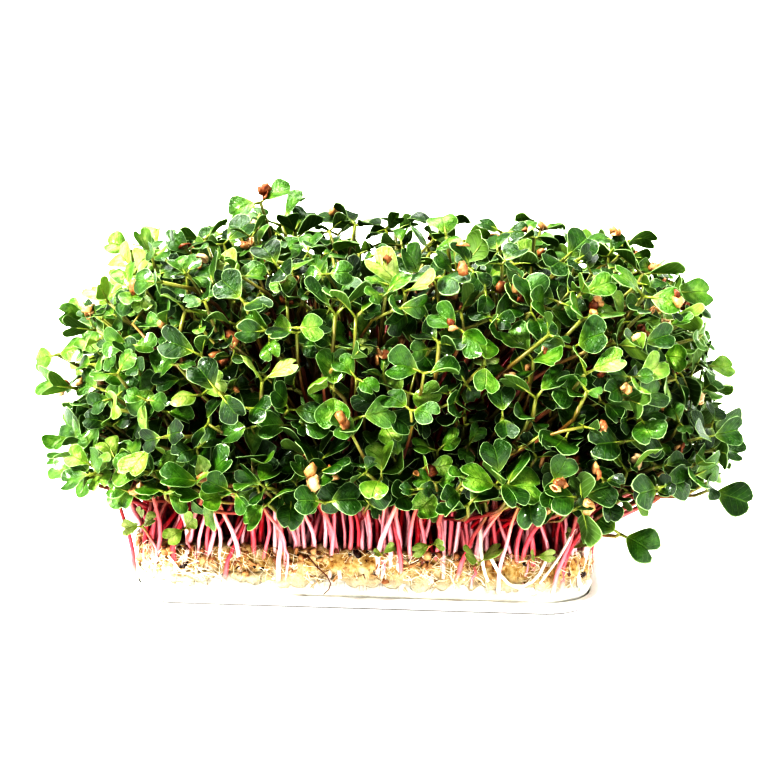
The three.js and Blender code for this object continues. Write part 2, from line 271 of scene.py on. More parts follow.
def roughen(bm, layers, where=lambda co: 1.0):
    """Pushes the skin in and out by layers of noise, each a lump size and a height."""
    bm.normal_update()
    for vert in bm.verts:
        push = sum(height * noise.noise(vert.co / size) for size, height in layers)
        vert.co += vert.normal * push * where(vert.co)


def rod_pattern(sides, cuts):
    """A thin round rod, one long, cut across so that it can bend."""
    bm = bmesh.new()
    bmesh.ops.create_cone(bm, cap_ends=True, segments=sides, radius1=1, radius2=1, depth=1)
    bmesh.ops.translate(bm, vec=(0, 0, 0.5), verts=bm.verts[:])
    lengthways = [edge for edge in bm.edges if abs(edge.verts[0].co.z - edge.verts[1].co.z) > 0.5]
    bmesh.ops.subdivide_edges(bm, edges=lengthways, cuts=cuts, use_grid_fill=True)
    return mesh_of("rod", bm)


def add_copy(bm, pattern, place, marks):
    """A copy of the pattern with each vertex moved by place(x, y, z), marked with values for its material."""
    first = len(bm.verts)
    bm.from_mesh(pattern)
    bm.verts.ensure_lookup_table()
    for vert in bm.verts[first:]:
        for layer, value in marks.items():
            vert[layer] = value(*vert.co) if callable(value) else value
        vert.co = place(*vert.co)


def bend_rod(line, radius):
    """A place for add_copy: along a line of points in millimetres, with radius(s) a share s along it."""
    line = np.asarray(line, float)
    tangents = np.gradient(line, axis=0)
    tangents /= np.linalg.norm(tangents, axis=1)[:, None]
    side = np.cross(tangents[0], (0.3, 0.5, 0.8))
    sides = []
    for tangent in tangents:
        side = side - tangent * (side @ tangent)
        side /= np.linalg.norm(side)
        sides.append(side)
    others = np.cross(tangents, sides)

    def place(x, y, z):
        step = round(z * (len(line) - 1))
        out = radius(z) * (x * sides[step] + y * others[step])
        return (line[step] + out) * MM

    return place


def taper(start, end, times=1, power=1):
    """A radius for bend_rod that goes from start to end."""
    return lambda s: times * (start + (end - start) * s**power)


def draped_line(random, surface, share, height, length, points):
    """A thread's line, wandering over surface(share, height), all in millimetres."""
    heading = random.uniform(0, 2 * math.pi)
    line = []
    for _ in range(points):
        line.append(surface(share, height))
        heading += random.uniform(-0.55, 0.55)
        share += math.cos(heading) * length / (points - 1) / SIDE_ROUND
        height += math.sin(heading) * length / (points - 1)
    return line


white_fibre, tree, shader = finish_named("white_fibre")
cloud = grain(tree, 9 * MM)
hair = grain(tree, 0.7 * MM, detail=6, stretch=(0.6, 0.6, 1.6), roughness=0.75)
warm = ramp(tree, cloud, (0.35, (0.74, 0.73, 0.68)), (0.62, (0.70, 0.66, 0.57)))
colour = blend_colours(tree, remap(tree, hair, 0.3, 0.55, 0.4, 0.0), warm, (0.54, 0.50, 0.41))
set_sockets(tree, shader, {"Base Color": colour, "Roughness": 0.9, "Sheen Weight": 0.35})
raise_surface(tree, shader, hair, 0.4 * MM)

bm = bmesh.new()
stack_rings(bm, PAD_POINTS, slab_place(pad_low, pad_high, PAD_CORNER, PAD_EDGE, PAD_RINGS + 1), PAD_RINGS + 3)
roughen(bm, [(7 * MM, PAD_FLUFF), (2.2 * MM, PAD_FLUFF), (1.1 * MM, PAD_FLUFF / 2)])
for vert in bm.verts:
    if vert.normal.xy.length > 0.5:
        vert.co += vert.normal * np.interp(vert.co.z / MM, *PAD_PRESSED) * MM
piece_of("growing_pad_felt", bm, [white_fibre], "pad_felt", "growing_pad")

PAD_SIZE = (pad_high - pad_low) / MM
SIDE_ROUND = 2 * (PAD_SIZE.x + PAD_SIZE.y) - 8 * PAD_CORNER / MM + 2 * math.pi * PAD_CORNER / MM


def pad_side(share, height, proud=0.25):
    x, y = corner_point(share, PAD_SIZE.x + 2 * proud, PAD_SIZE.y + 2 * proud, PAD_CORNER / MM + proud)
    return x, y, min(max(height, FIBRES["lowest"]), pad_high.z / MM)


random = Random(11)
pattern = rod_pattern(FIBRES["sides"], FIBRES["cuts"])
bm = bmesh.new()
for _ in range(FIBRES["count"]):
    length = random.uniform(FIBRES["shortest"], FIBRES["longest"])
    share, height = random.random(), random.uniform(FIBRES["low"], FIBRES["high"])
    line = draped_line(random, pad_side, share, height, length, FIBRES["cuts"] + 2)
    add_copy(bm, pattern, bend_rod(line, lambda s: FIBRES["radius"]), {})
piece_of("growing_pad_fibres", bm, [white_fibre], "pad_felt")

# ---- Root mat --------------------------------------------------------------------------------------
# The felt that the roots have knitted over the pad: cream root hairs, with the seeds' coats caught in it.
# It has no cut edge, and here and there it hangs down over the pad's side.

MAT_CORNER = 18 * MM
MAT_POINTS = 600
MAT_SKIRT = 4.6 * MM
MAT_SIDE_RINGS = 9
MAT_SHADED_X, MAT_SHADED_Y = 78 * MM, 54 * MM
MAT_TOP_STEPS = [0.8, 1.2, 1.6, 2, 2.4, 2.8, 3, 3, 3, 3.5, 4, 5, 6, 8]
MAT_LOWEST = 5.2
ROOTS = {
    "count": 1900, "sides": 3, "cuts": 4, "thinnest": 0.06, "thickest": 0.2, "tip": 0.3,
    "shortest": 4, "longest": 14, "low": 7, "high": 24, "likely": 15,
}
# Strands that hang at the front: how dark, how thick at each end, and the points of their bends.
STRANDS = [
    (1.0, 0.26, 0.16, (-17.5, -57.2, 19.4), (-14, -57.9, 15.5), (-10.5, -58.2, 12.4), (-9.2, -58.1, 9.6),
     (-10, -57.8, 7.2), (-11.8, -57.6, 5.4)),
    (0.1, 0.85, 0.5, (44.5, -57, 23), (46.5, -58.4, 19.5), (49, -58.7, 15), (52, -58.5, 11.8),
     (55, -58.2, 10.2), (58, -57.8, 9.8)),
    (0.1, 0.85, 0.5, (66, -57, 24), (64.5, -58.6, 20), (62.5, -59, 15.5), (60, -59, 12.6),
     (57, -58.8, 11), (53.6, -58.4, 11.2)),
    (0.0, 0.8, 0.6, (42, -57.8, 31), (42.2, -58.4, 26), (42.6, -58.6, 21.5), (43.2, -58.7, 17.5),
     (44, -58.5, 14.5), (45, -58, 12)),
    (0.1, 0.8, 0.5, (74, -58.2, 32), (71.6, -59, 27), (69, -59.3, 22), (66.6, -59.2, 18),
     (64.4, -58.8, 14.6), (62.6, -58.4, 12)),
    (0.5, 0.5, 0.3, (-66, -57.6, 18), (-62, -58.4, 13), (-57, -58.5, 11), (-52, -58.3, 12.4),
     (-48, -58.2, 11), (-45, -58, 8.6)),
]

mat_low, mat_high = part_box("root_mat")
MAT_LENGTH, MAT_WIDTH = 161 * MM, 113 * MM
mat_bottom, mat_top = mat_low.z, mat_high.z


def skirt_drop(share):
    """How far the mat hangs down over the pad's side, from ragged noise round it."""
    around = Vector((math.cos(2 * math.pi * share), math.sin(2 * math.pi * share), 0))
    ragged = noise.noise(around * 5) + 0.6 * noise.noise(around * 17) + 0.35 * noise.noise(around * 45)
    return MAT_SKIRT * min(max(0.45 + 0.75 * ragged, 0), 1)


MAT_SKIRT_SECTION = [(3.0, 0.0), (0.85, 0.0), (0.75, 0.9), (0.35, 1.05), (0.05, 0.85)]
MAT_LEVELS = len(MAT_SKIRT_SECTION) + MAT_SIDE_RINGS + len(MAT_TOP_STEPS)


def mat_place(share, level):
    if level < len(MAT_SKIRT_SECTION):
        inset, drop = MAT_SKIRT_SECTION[level]
        inset, height = inset * MM, mat_bottom - drop * skirt_drop(share)
    elif level < len(MAT_SKIRT_SECTION) + MAT_SIDE_RINGS:
        s = (level - len(MAT_SKIRT_SECTION) + 1) / MAT_SIDE_RINGS
        start = mat_bottom - 0.85 * skirt_drop(share)
        inset = (0.05 + 1.3 * s**4) * MM
        height = start + (mat_top - 0.3 * MM - start) * s
    else:
        step = level - len(MAT_SKIRT_SECTION) - MAT_SIDE_RINGS
        inset, height = (1.35 + sum(MAT_TOP_STEPS[: step + 1])) * MM, mat_top
    corner = max(MAT_CORNER - inset, 1 * MM)
    x, y = corner_point(share, MAT_LENGTH - 2 * inset, MAT_WIDTH - 2 * inset, corner)
    return x, y, height


def away_from_pad(co):
    """Noise acts on the mat's outside and top, and not where it lies on the pad."""
    inside = abs(co.x) < MAT_LENGTH / 2 - 1.2 * MM and abs(co.y) < MAT_WIDTH / 2 - 1.2 * MM
    return 0.0 if inside and co.z < mat_bottom + 1 * MM else 1.0


root_felt, tree, shader = finish_named("root_felt")
patches = grain(tree, 4 * MM, detail=6, roughness=0.7)
specks = grain(tree, 1.6 * MM, detail=3)
hair = grain(tree, 0.5 * MM, detail=6, roughness=0.8)
cream = ramp(
    tree, patches, (0.34, (0.66, 0.61, 0.48)), (0.47, (0.60, 0.48, 0.25)), (0.57, (0.44, 0.28, 0.09)),
    (0.66, (0.20, 0.08, 0.025)), (0.76, (0.05, 0.018, 0.008)),
)
where = where_on_piece(tree)
pale_below = remap(tree, where["Z"], 7 * MM, 15.5 * MM, 0.97, 0.0, smooth=True)
colour = blend_colours(tree, remap(tree, specks, 0.62, 0.70, 0.0, 0.85), cream, (0.16, 0.06, 0.02))
colour = blend_colours(tree, pale_below, colour, (0.58, 0.545, 0.43))
colour = blend_colours(tree, remap(tree, hair, 0.38, 0.52, 0.5, 0.0), colour, (0.40, 0.26, 0.10))
# Painted shade: from 1.5 to 9 mm inside the seedlings' border the mat's top turns dark brown, the shade under
# the canopy.
from_end = calculate(tree, "SUBTRACT", MAT_SHADED_X, calculate(tree, "ABSOLUTE", where["X"]))
from_side = calculate(tree, "SUBTRACT", MAT_SHADED_Y, calculate(tree, "ABSOLUTE", where["Y"]))
inwards = calculate(tree, "MINIMUM", from_end, from_side)
shaded = remap(tree, inwards, 1.5 * MM, 9 * MM, 0.0, 0.88, smooth=True)
colour = blend_colours(tree, shaded, colour, (0.13, 0.045, 0.026))
set_sockets(tree, shader, {"Base Color": colour, "Roughness": 0.85})
raise_surface(tree, shader, calculate(tree, "ADD", hair, specks), 0.7 * MM)

bm = bmesh.new()
stack_rings(bm, MAT_POINTS, mat_place, MAT_LEVELS)
roughen(bm, [(13 * MM, 1.6 * MM), (4.5 * MM, 1.5 * MM), (1.7 * MM, 0.7 * MM)], away_from_pad)
piece_of("root_mat_felt", bm, [root_felt], "root_felt", "root_mat")

MAT_SIZE = Vector((MAT_LENGTH, MAT_WIDTH, mat_top)) / MM


def mat_side(share, height, proud=0.35):
    """The mat's outside, and past its top edge its top."""
    over = max(height - MAT_SIZE.z, 0)
    under = min(max((12 - height) / 4, 0), 1)
    inset = 0.4 * under + over - proud
    corner = max(MAT_CORNER / MM - inset, 1)
    x, y = corner_point(share, MAT_SIZE.x - 2 * inset, MAT_SIZE.y - 2 * inset, corner)
    lump = 0.5 * noise.noise(Vector((x, y, height)) / 2.6)
    return x, y, max(min(height, MAT_SIZE.z + proud), MAT_LOWEST) + (lump if over else 0)


pale_root, tree, shader = finish_named("pale_root")
colour = ramp(
    tree, mark_of(tree, "tone"), (0.0, (0.84, 0.80, 0.70)), (0.6, (0.76, 0.66, 0.47)),
    (0.88, (0.56, 0.36, 0.14)), (1.0, (0.12, 0.035, 0.018)),
)
blotch = grain(tree, 2.5 * MM)
colour = blend_colours(tree, remap(tree, blotch, 0.55, 0.75, 0.0, 0.4), colour, (0.62, 0.42, 0.18))
set_sockets(tree, shader, {"Base Color": colour, "Roughness": 0.55})
raise_surface(tree, shader, blotch, 0.1 * MM)

random = Random(23)
pattern = rod_pattern(ROOTS["sides"], ROOTS["cuts"])
bm = bmesh.new()
tone = bm.verts.layers.float.new("tone")
for _ in range(ROOTS["count"]):
    length = random.uniform(ROOTS["shortest"], ROOTS["longest"])
    thick = random.uniform(ROOTS["thinnest"], ROOTS["thickest"])
    share, height = random.random(), random.triangular(ROOTS["low"], ROOTS["high"], ROOTS["likely"])
    line = draped_line(random, mat_side, share, height, length, ROOTS["cuts"] + 2)
    add_copy(bm, pattern, bend_rod(line, taper(1, ROOTS["tip"], thick)), {tone: random.random() ** 1.5})
for dark, thick, thin, *bends in STRANDS:
    ends, steps = np.linspace(0, 1, len(bends)), np.linspace(0, 1, ROOTS["cuts"] + 2)
    line = np.stack([np.interp(steps, ends, way) for way in zip(*bends)], axis=1)
    add_copy(bm, pattern, bend_rod(line, taper(thick, thin)), {tone: dark})
piece_of("root_threads", bm, [pale_root], "root_felt")

# ---- Where the seedlings grow ----------------------------------------------------------------------
# Forty bunches of radish seedlings stand in the mat, all in millimetres. Each seedling takes the first of its
# ways to grow that is clear of those before it, by the same rule and the same draws as the solids.

BUNCH_COLUMNS, BUNCH_ROWS, BUNCH_STEMS = 8, 5, 5
PITCH_X, PITCH_Y, UNEVEN_X, UNEVEN_Y = 17.9, 19, 0.6, 0.9
ROOT_LEVEL = 18.9
STEM_RING, STEM_UNEVEN = 4.5, 0.35
DOME_LEFT, DOME_RIGHT, DOME_FRONT, DOME_BACK, DOME_LOW, DOME_HIGH, DOME_CORE = 103, 120, 77, 78, 50, 118, 52
FIELD_X, FIELD_Y = 67.5, 42.5
UNEVEN = {
    "head": 6, "facing": 0.5, "sway": 0.13, "sunk": 12, "sinking": 0.3, "outwards": 0, "lean": 1,
    "tries": 140,
}
UNEVEN_STRAY = {**UNEVEN, "head": 1.5, "facing": 0.12}
BLADE_THICKNESS, BLADE_DROOP, BLADE_MIDDLE, BLADE_RADIUS = 0.8, 0.018, 8, 5.9
CLEAR_SOLID = {"above": 1.9, "beside": 1.2, "stems": 3.1}
FOR_BUNCH, FOR_ROOT = 190, 191
CROWDED = [85]  # left out of the solids too

# Seedlings that reach out of the dome: their bunch's column and row from the front, where the head stands,
# which way its leaves face and which way the pair runs.
STRAYS = [
    (0, 1, (-109, -30, 82), (-0.35, -0.75, 0.55), (1, 0, 0.1)),
    (0, 0, (-101, -45, 43), (-0.4, -0.7, 0.6), (0.9, 0, -0.5)),
    (0, 3, (-89, 3, 114), (0.35, -0.75, 0.6), (-1, 0, 0.35)),
    (0, 2, (-105, 4, 93), (-0.4, -0.6, 0.6), (0.9, -0.2, 0.3)),
    (2, 3, (-43, 12, 131), (-0.1, -0.7, 0.7), (0.8, 0.1, 0.5)),
    (1, 3, (-58, 22, 119), (-0.3, -0.3, 0.9), (1, 0.4, 0)),
    (5, 3, (46, 32, 118), (0, -0.6, 0.8), (1, -0.3, 0)),
    (7, 0, (121, -40, 41), (0.3, -0.8, 0.6), (0.8, 0.2, -0.6)),
    (7, 0, (90, -60, 31), (0.1, -0.8, 0.6), (0.8, 0, -0.6)),
    (7, 2, (121, 0, 76), (0.4, -0.7, 0.6), (0.9, 0.3, -0.2)),
    (7, 3, (113, 24, 93), (0.5, -0.5, 0.7), (0.9, 0.2, 0.2)),
]


def draw(owner, attempt, which):
    """A number from 0 to 1 that depends only on whose it is, for which try, and which draw of that try."""
    mask = 0xFFFFFFFF
    h = (owner + 1) * 0x9E3779B1 & mask
    h ^= (attempt + 1) * 0x85EBCA6B & mask
    h ^= (which + 1) * 0xC2B2AE35 & mask
    h = (h ^ h >> 15) * 0x2C1B3C6D & mask
    h = (h ^ h >> 12) * 0x297A2D39 & mask
    return (h ^ h >> 15) / 2**32


def spread(owner, attempt, which):
    return 2 * draw(owner, attempt, which) - 1


def spreads(owner, attempt, *draws):
    return np.array([spread(owner, attempt, which) for which in draws])


def draw_between(limits, owner, attempt, which):
    return np.interp(draw(owner, attempt, which), (0, 1), limits)


def unit(vector):
    return vector / np.linalg.norm(vector)


def bunch_centre(bunch):
    column = bunch % BUNCH_COLUMNS - (BUNCH_COLUMNS - 1) / 2
    row = bunch // BUNCH_COLUMNS - (BUNCH_ROWS - 1) / 2
    x = PITCH_X * column + UNEVEN_X * spread(bunch, FOR_BUNCH, 0)
    y = PITCH_Y * row + UNEVEN_Y * spread(bunch, FOR_BUNCH, 1)
    return np.array([x, y, ROOT_LEVEL])


def root_of(number, bunch, place):
    """Four stems stand round a bunch's middle one, and a stray between two of the four."""
    quarters = place if place < 4 else place - 4.5
    turn = math.pi * (draw(bunch, FOR_BUNCH, 3) + quarters / 2)
    ring = 0 if place == 4 else STEM_RING
    uneven = np.append(spreads(number, FOR_ROOT, 0, 1) * STEM_UNEVEN, 0)
    return bunch_centre(bunch) + ring * np.array([math.cos(turn), math.sin(turn), 0]) + uneven


def dome_point(x, y):
    """Where a head stands on the dome if its root is at x, y, and how far out that is, from 0 to 1."""
    fx, fy = x / FIELD_X, y / FIELD_Y
    far = (abs(fx) ** 3 + abs(fy) ** 3) ** (1 / 3)
    out = min(1, far)
    reach = (1 - (1 - out) ** 1.45) / far
    dome_x = fx * reach * (DOME_LEFT if fx < 0 else DOME_RIGHT)
    dome_y = fy * reach * (DOME_FRONT if fy < 0 else DOME_BACK)
    return np.array([dome_x, dome_y, DOME_LOW + (DOME_HIGH - DOME_LOW) * (1 - out**5.5)]), out


def seedling_at(number, attempt, root, stray=None, uneven=UNEVEN):
    """One way for a seedling to grow: its root, the top of its stem, and the frame of its two leaves.
    With outwards, its head may stand further out on the dome than its root does in the mat."""
    if stray:
        head, normal, along = (np.array(part, float) for part in stray[2:])
    else:
        far = dome_point(root[0], root[1])[1]
        further = 1 + uneven["outwards"] * (1 - draw(number, attempt, 13) ** 2) * (1 - far) / far
        dome, out = dome_point(root[0] * further, root[1] * further)
        inwards = unit(np.array([-0.75 * dome[0], -0.75 * dome[1], DOME_CORE - dome[2]]))
        depth = (uneven["sunk"] + uneven["sinking"] * attempt) * draw(number, attempt, 0) ** 1.5
        lean = (0.25 + 0.75 * out) * uneven["lean"]
        turn = math.pi * draw(number, attempt, 7)
        head = dome + inwards * depth
        normal = np.array([lean * dome[0] / DOME_RIGHT, lean * dome[1] / DOME_BACK, 0.8])
        along = np.array([math.cos(turn), math.sin(turn), 0])
    head = head + uneven["head"] * spreads(number, attempt, 1, 2, 3)
    normal = unit(normal + uneven["facing"] * spreads(number, attempt, 4, 5, 6))
    along = unit(along - normal * (along @ normal))
    return {
        "number": number,
        "root": root,
        "head": head,
        "normal": normal,
        "along": along,
        "across": np.cross(normal, along),
        "sway": np.append(uneven["sway"] * spreads(number, attempt, 11, 12), 1),
        "size": 0.78 + 0.36 * draw(number, 0, 8),
        "lift": 0.15 + 0.5 * draw(number, 0, 9),
        "cup": 0.02 * spread(number, 0, 10),
    }


def leaf_point(seedling, u, v, w, droop=BLADE_DROOP):
    """Points of the leaves: u along the pair from the stem's top, v across, w through the blade."""
    far = abs(u)
    rise = seedling["lift"] * far - droop * far * far + seedling["cup"] * v * v
    size = seedling["size"]
    axes = np.array([seedling["along"], seedling["across"], seedling["normal"]])
    return seedling["head"] + np.stack([size * u, size * v, size * rise + w], axis=-1) @ axes


def stem_line(seedling, steps):
    """The stem's line from its root to its leaves. It leaves the mat upright."""
    root, head = seedling["root"], seedling["head"]
    length = np.linalg.norm(head - root)
    low = root + seedling["sway"] * 0.4 * length
    high = head - seedling["normal"] * 0.32 * length
    t = np.linspace(0, 1, steps + 1)[:, None]
    return (1 - t) ** 3 * root + 3 * (1 - t) ** 2 * t * low + 3 * (1 - t) * t * t * high + t**3 * head


HALF_SPOTS = [
    (4, 0), (8, 0), (11.2, 0), (12.8, 3.9), (12.8, -3.9), (8.3, 6), (8.3, -6), (4.5, 3.2), (4.5, -3.2),
]
BLADE_SPOTS = np.array([(side * u, v) for side in (-1, 1) for u, v in HALF_SPOTS])
SIDES = np.array([-1.0, 1.0])


def room_of(seedling):
    """The space a seedling takes: two discs, points down its stem, and those with spots on its blades."""
    middle = BLADE_THICKNESS / 2
    centres = leaf_point(seedling, SIDES * BLADE_MIDDLE, 0 * SIDES, middle)
    further = leaf_point(seedling, SIDES * (BLADE_MIDDLE + 0.5), 0 * SIDES, middle)
    normals = np.cross(further - centres, seedling["across"])
    normals /= np.linalg.norm(normals, axis=1)[:, None]
    stem = stem_line(seedling, 30)
    points = np.vstack([leaf_point(seedling, BLADE_SPOTS[:, 0], BLADE_SPOTS[:, 1], middle), stem])
    return {
        "centres": centres,
        "normals": normals,
        "radius": np.full(2, BLADE_RADIUS * seedling["size"]),
        "stem": stem,
        "points": points,
        "low": points.min(0) - 10,
        "high": points.max(0) + 10,
    }


def on_blades(points, centres, normals, radius, clear):
    away = points[..., None, :] - centres
    far = (away**2).sum(-1)
    height = (away * normals).sum(-1)
    beside = (radius + clear["beside"]) ** 2
    return bool(((np.abs(height) < clear["above"]) & (far - height**2 < beside)).any())


grown, crowd = [], {}


def is_clear(room, clear):
    """Whether a seedling's room stays clear of every seedling in the crowd."""
    if not crowd:
        return True
    apart = (room["low"] > crowd["high"]) | (crowd["low"] > room["high"])
    if apart.any(axis=1).all():
        return True
    near = {key: value[~apart.any(axis=1)] for key, value in crowd.items()}
    gaps = ((room["stem"][:, None, None] - near["stem"]) ** 2).sum(-1)
    discs = "centres", "normals", "radius"
    return not (
        (gaps < clear["stems"] ** 2).any()
        or on_blades(room["points"], *(np.concatenate(near[key]) for key in discs), clear)
        or on_blades(near["points"], *(room[key] for key in discs), clear)
    )


def take_place(seedling, room, bunch):
    """The seedling grows: its room is taken."""
    grown.append(seedling | {"bunch": bunch, "solid": True, "late": False, "inner": False})
    for key, value in room.items():
        crowd[key] = np.concatenate([crowd[key], value[None]]) if key in crowd else value[None]


regular = BUNCH_COLUMNS * BUNCH_ROWS * BUNCH_STEMS
for order in range(regular + len(STRAYS)):
    stray = STRAYS[order] if order < len(STRAYS) else None
    number = regular + order if stray else order - len(STRAYS)
    bunch = stray[1] * BUNCH_COLUMNS + stray[0] if stray else number // BUNCH_STEMS
    beside = sum(one["bunch"] == bunch and one["number"] >= regular for one in grown)
    root = root_of(number, bunch, BUNCH_STEMS + beside if stray else number % BUNCH_STEMS)
    for attempt in range(UNEVEN["tries"]):
        seedling = seedling_at(number, attempt, root, stray, UNEVEN_STRAY if stray else UNEVEN)
        room = room_of(seedling)
        if is_clear(room, CLEAR_SOLID):
            take_place(seedling, room, bunch)
            break
grown = [seedling for seedling in grown if seedling["number"] not in CROWDED]

# The rest of the crop stands between those: a close row round the border, and an uneven grid inside it.
# Border seedlings root lower, on the mat's shoulder. Late ones have barely sprouted at the mat's edge.
# Each keeps its leaves out of the cells of air that others fill, so the canopy closes all over.
EXTRA_BORDER = {"count": 210, "x": 78.2, "y": 54.2, "corner": 16, "uneven": 1.3, "lower": 9.5, "out": 2.2}
EXTRA_GRID = {"columns": 40, "rows": 27, "x": 74, "y": 50, "uneven": 1.6}
EXTRA = {"first": 1000, "size": (0.55, 1.05), "lift": (0.05, 1.3), "apart": 1.6, "touches": 3}
INNER = {"first": 3000, "size": (0.45, 0.85), "lift": (0.05, 1.0), "apart": 1.3, "touches": 12}
LATE = {"count": 32, "size": (0.3, 0.6), "lift": (0.7, 1.8), "tall": (7, 26), "out": (0, 6)}
UNEVEN_EXTRA = {**UNEVEN, "facing": 0.8, "sway": 0.3, "sunk": 20, "outwards": 0.97, "lean": 0.6, "tries": 90}
UNEVEN_INNER = {**UNEVEN_EXTRA, "sunk": 46, "tries": 30}
PAST_SOLIDS = 2  # how far their leaves may reach out of the solids' box
CELL, CELLS, MIDDLE_CELL = 1.5, (210, 170, 120), np.array([105, 85, 2])
STEM_HERE, BLADE_HERE = 1, 2
SPOT_STEPS, SPOTS_SQUEEZED, SPOTS_RADIUS = np.arange(-5.5, 5.6, 1.1), 0.85, 5.4


def cells_of(points):
    return tuple((points / CELL + MIDDLE_CELL).astype(int).T)


spot_u, spot_v = (steps.ravel() for steps in np.meshgrid(SPOTS_SQUEEZED * SPOT_STEPS, SPOT_STEPS))
on_blade = (spot_u / SPOTS_SQUEEZED) ** 2 + spot_v**2 < SPOTS_RADIUS**2
spot_u = np.concatenate([BLADE_MIDDLE + spot_u[on_blade], -BLADE_MIDDLE - spot_u[on_blade]])
spot_v = np.tile(spot_v[on_blade], 2)
filled = np.zeros(CELLS, np.int8)
reach_low, reach_high = np.array(cad_low) / MM - PAST_SOLIDS, np.array(cad_high) / MM + PAST_SOLIDS


def fill_cells(seedling):
    filled[cells_of(stem_line(seedling, 80))] |= STEM_HERE
    filled[cells_of(leaf_point(seedling, spot_u, spot_v, 0))] |= BLADE_HERE


def is_free(seedling, touches):
    """Whether the leaves keep within the crop's reach and out of others' leaves, and touch few stems,
    and so the other way round."""
    spots = leaf_point(seedling, spot_u, spot_v, 0)
    if (spots < reach_low).any() or (spots > reach_high).any():
        return False
    blades = filled[cells_of(spots)]
    if (blades & BLADE_HERE).any() or (blades > 0).sum() > touches:
        return False
    stem = filled[cells_of(stem_line(seedling, 60)[4:])]
    return (stem & BLADE_HERE > 0).sum() <= touches


def border_root(share, low):
    """A root on the mat's shoulder, or low down on its side, and how uneven its place is."""
    out = 2 * EXTRA_BORDER["out"] * low
    length, width = 2 * EXTRA_BORDER["x"] + out, 2 * EXTRA_BORDER["y"] + out
    x, y = corner_point(share, length, width, EXTRA_BORDER["corner"])
    return x, y, ROOT_LEVEL - EXTRA_BORDER["lower"] * low, EXTRA_BORDER["uneven"]


def grid_root(order):
    row, column = divmod(order, EXTRA_GRID["columns"])
    x = EXTRA_GRID["x"] * (2 * (column + row % 2 / 2) / (EXTRA_GRID["columns"] - 0.5) - 1)
    y = EXTRA_GRID["y"] * (2 * row / (EXTRA_GRID["rows"] - 1) - 1)
    return x, y, ROOT_LEVEL, EXTRA_GRID["uneven"]


def late_root(order):
    return border_root((order + 0.5) / LATE["count"], 0.5 + 0.4 * draw(order, FOR_ROOT, 4))


for seedling in grown:
    fill_cells(seedling)
border = EXTRA_BORDER["count"]
roots = [border_root(order / border, draw(order, FOR_ROOT, 2) ** 1.6) for order in range(border)]
roots += map(grid_root, range(EXTRA_GRID["columns"] * EXTRA_GRID["rows"]))
roots += map(late_root, range(LATE["count"]))
centres = np.array([bunch_centre(bunch) for bunch in range(BUNCH_COLUMNS * BUNCH_ROWS)])
rooted = np.array([seedling["root"] for seedling in grown])
for kind, how in ((EXTRA, UNEVEN_EXTRA), (INNER, UNEVEN_INNER)):
    for order, (x, y, z, uneven) in enumerate(roots):
        number = kind["first"] + order
        late = order >= len(roots) - LATE["count"]
        size, lift = (LATE if late else kind)["size"], (LATE if late else kind)["lift"]
        root = (x, y, z) + np.append(uneven * spreads(number, FOR_ROOT, 0, 1), 0)
        if late and kind is INNER or ((rooted - root) ** 2).sum(-1).min() < kind["apart"] ** 2:
            continue
        for attempt in range(how["tries"]):
            seedling = seedling_at(number, attempt, root, uneven=how)
            seedling["size"] = draw_between(size, number, attempt, 8)
            seedling["lift"] = draw_between(lift, number, attempt, 9)
            if late:
                out = draw_between(LATE["out"], number, attempt, 14) * unit(root * (1, 1, 0))
                seedling["head"] = root + out + (0, 0, draw_between(LATE["tall"], number, attempt, 15))
            if is_free(seedling, kind["touches"]):
                bunch = int(((centres - root) ** 2).sum(1).argmin())
                marks = {"bunch": bunch, "solid": False, "late": late, "inner": kind is INNER}
                grown.append(seedling | marks)
                fill_cells(seedling)
                rooted = np.vstack([rooted, root])
                break

# ---- Seedlings -------------------------------------------------------------------------------------
# A radish seedling is a smooth crimson stem, pale where it leaves the mat, and two heart-shaped seed leaves.
# A yellow-green stalk runs out of the stem's top into each leaf and on as its midrib.

STEM = {"foot": 0.98, "neck": 0.66, "sunk": 2.5}
STALK = {"start": 0.66, "end": 0.18, "reach": 7.4, "power": 0.8, "under": 0.25}
LEAF = {"thickness": 0.34, "base": 2.2, "middle": 8.0, "tip": 12.6, "half": 6.1}
STEM_SHARE = 0.86  # the stem's part of the way up to a leaf, for its colour
# How finely they are made: a stem's sides and cuts, a stalk's, and the faces along and across a leaf.
OUTER_DETAIL = {"stem": (6, 7), "stalk": (4, 2), "leaf": (5, 6)}
INNER_DETAIL = {"stem": (4, 5), "stalk": (3, 1), "leaf": (3, 4)}
EDGE = 1  # how far past the grid a stem stands in plain view
YELLOW_FROM, LIGHT_FROM = 0.97, 0.74


def heart(x, y, notch=1.0):
    """A round leaf's point x, y, drawn out to a heart: u from the stem's top, v across."""
    side = abs(y)
    reach = LEAF["tip"] if x > 0 else 2 * LEAF["middle"] - LEAF["base"]
    u = LEAF["middle"] + x * (reach - LEAF["middle"])
    if x > 0:
        u += x * notch * (0.9 * math.sin(math.pi * min(1, side / 0.9)) - 2.5 * max(0, 1 - side / 0.5) ** 2)
        widen = 1 + 0.16 * x - 0.1 * x * x
    else:
        widen = 1 + 0.26 * x - 0.26 * x * x
    return u, LEAF["half"] * y * widen


def leaf_pattern(along, across):
    """A thin round blade: its upper face at z = 0 and its underside at z = -1."""
    bm = bmesh.new()
    bmesh.ops.create_grid(bm, x_segments=along, y_segments=across, size=1)
    for vert in bm.verts:
        x, y, _ = vert.co
        vert.co = x * math.sqrt(1 - y * y / 2), y * math.sqrt(1 - x * x / 2), 0
    bmesh.ops.solidify(bm, geom=bm.faces[:], thickness=1)
    bm.normal_update()
    for face in bm.faces:
        face.material_index = 0 if face.normal.z > 0.5 else 1
    for edge in bm.edges:
        edge.smooth = edge.calc_face_angle(0) < 0.8
    return mesh_of("leaf", bm)


